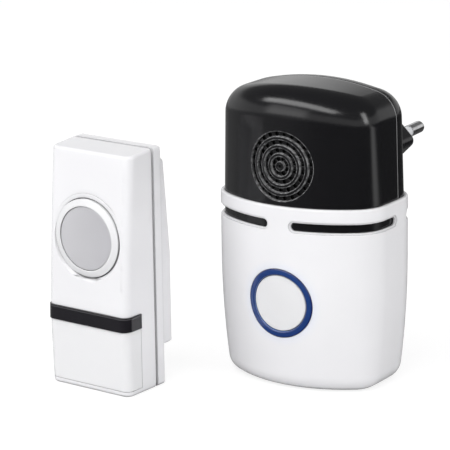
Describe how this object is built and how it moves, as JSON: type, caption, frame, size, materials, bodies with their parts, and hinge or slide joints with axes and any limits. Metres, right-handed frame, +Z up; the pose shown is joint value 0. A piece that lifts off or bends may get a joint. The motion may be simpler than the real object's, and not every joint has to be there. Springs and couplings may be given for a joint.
{
  "type": "wireless doorbell",
  "caption": "Plug-in chime with a speaker grille, light ring and white cup, with a slim wall push button that has a round key, a name window and a bracket.",
  "frame": {"origin": "centre of the base of the whole set, on the surface that both units stand on", "axes": "+Z up, +Y from the fronts towards the mains pins, +X to the right seen from the front"},
  "size_m": [0.0984, 0.1086, 0.0964],
  "materials": {
    "white_gloss": "white ABS with a soft gloss",
    "black_gloss": "black ABS, glossy",
    "ring_blue": "translucent blue light guide",
    "button_white": "white ABS, satin",
    "disc_silver": "silver painted plastic, satin",
    "band_black": "black ABS, glossy",
    "window_clear": "clear polycarbonate",
    "card_white": "blank card",
    "pin_metal": "nickel-plated brass",
    "sleeve_grey": "light insulating sleeve",
    "carrier_black": "moulded insert",
    "switch_black": "switch housing",
    "plunger_white": "switch plunger",
    "board_green": "glass-epoxy board with solder mask",
    "led_white": "light chip",
    "cloth_black": "woven dust cloth",
    "gasket_foam": "foam rubber",
    "basket_steel": "pressed steel, zinc plated",
    "cone_paper": "pressed paper",
    "magnet_ferrite": "ferrite",
    "screw_steel": "zinc-plated steel",
    "lead_black": "PVC insulation",
    "lead_red": "PVC insulation",
    "connector_black": "moulded connector",
    "film_yellow": "box film capacitor",
    "can_sleeve": "shrink sleeve over an aluminium can",
    "chip_black": "moulded chip",
    "resonator_metal": "drawn metal can",
    "antenna_copper": "enamelled copper wire",
    "battery_metal": "steel can with a plain wrap",
    "spring_steel": "nickel-plated spring steel"
  },
  "bodies": {
    "receiver": {"receiver_cup": "white_gloss", "receiver_front_shell": "black_gloss", "receiver_rear_shell": "black_gloss", "plug_pin_left": "pin_metal", "plug_pin_right": "pin_metal", "pin_sleeves": "sleeve_grey", "pin_carrier": "carrier_black", "light_ring": "ring_blue", "melody_switch": "switch_black", "ring_board": "board_green", "ring_board_screws": "screw_steel", "ring_leds": "led_white", "ring_board_pins": "connector_black", "ring_board_socket": "connector_black", "grille_cloth": "cloth_black", "speaker_gasket": "gasket_foam", "speaker_frame": "basket_steel", "speaker_cone": "cone_paper", "speaker_magnet": "magnet_ferrite", "speaker_screws": "screw_steel", "receiver_board": "board_green", "board_screws": "screw_steel", "mains_leads": "lead_black", "speaker_leads": "lead_red", "film_capacitor": "film_yellow", "smoothing_capacitor": "can_sleeve", "bridge_rectifier": "chip_black", "chime_chip": "chip_black", "resonator_can": "resonator_metal", "receiver_radio_board": "board_green", "receiver_antenna": "antenna_copper", "case_screws": "screw_steel", "cup_screws": "screw_steel"},
    "melody_button": {"melody_button": "button_white", "melody_switch_plunger": "plunger_white"},
    "push_unit_case": {"transmitter_rear_cover": "white_gloss", "transmitter_board": "board_green", "transmitter_screws": "screw_steel", "button_switch": "switch_black", "encoder_chip": "chip_black", "transmitter_resonator": "resonator_metal", "transmitter_antenna": "antenna_copper", "battery": "battery_metal", "battery_spring": "spring_steel", "spring_plate": "spring_steel", "battery_plate": "spring_steel"},
    "push_unit_cover": {"transmitter_front_cover": "white_gloss", "trim_band": "band_black"},
    "push_button": {"button_cap": "white_gloss", "button_disc": "disc_silver"},
    "button_plunger": {"button_switch_plunger": "plunger_white"},
    "name_window": {"name_window": "window_clear", "name_card": "card_white"},
    "wall_bracket": {"wall_bracket": "white_gloss"}
  },
  "joints": [
    {"name": "melody_button_press", "type": "slide", "parent": "receiver", "child": "melody_button", "axis": [0, 1, 0], "range_m": [0, 0.0008], "stiffness_N_per_m": 500, "springref_m": -0.002},
    {"name": "push_unit_lift_away", "type": "slide", "parent": "receiver", "child": "push_unit_case", "axis": [-1, 0, 0], "range_m": [0, 0.06]},
    {"name": "cover_off", "type": "slide", "parent": "push_unit_case", "child": "push_unit_cover", "axis": [-0.0906, -0.9959, 0], "range_m": [0, 0.03]},
    {"name": "button_press", "type": "slide", "parent": "push_unit_cover", "child": "push_button", "axis": [0.0906, 0.9959, 0], "range_m": [0, 0.001], "stiffness_N_per_m": 400, "springref_m": -0.0025},
    {"name": "switch_plunger", "type": "slide", "parent": "push_unit_case", "child": "button_plunger", "axis": [0.0906, 0.9959, 0], "range_m": [0, 0.001]},
    {"name": "window_off", "type": "slide", "parent": "push_unit_cover", "child": "name_window", "axis": [-0.0906, -0.9959, 0], "range_m": [0, 0.02]},
    {"name": "bracket_unhook", "type": "slide", "parent": "push_unit_case", "child": "wall_bracket", "axis": [0, 0, -1], "range_m": [0, 0.008]}
  ],
  "couplings": [
    {"joint": "switch_plunger", "follows": "button_press", "ratio": 1}
  ]
}
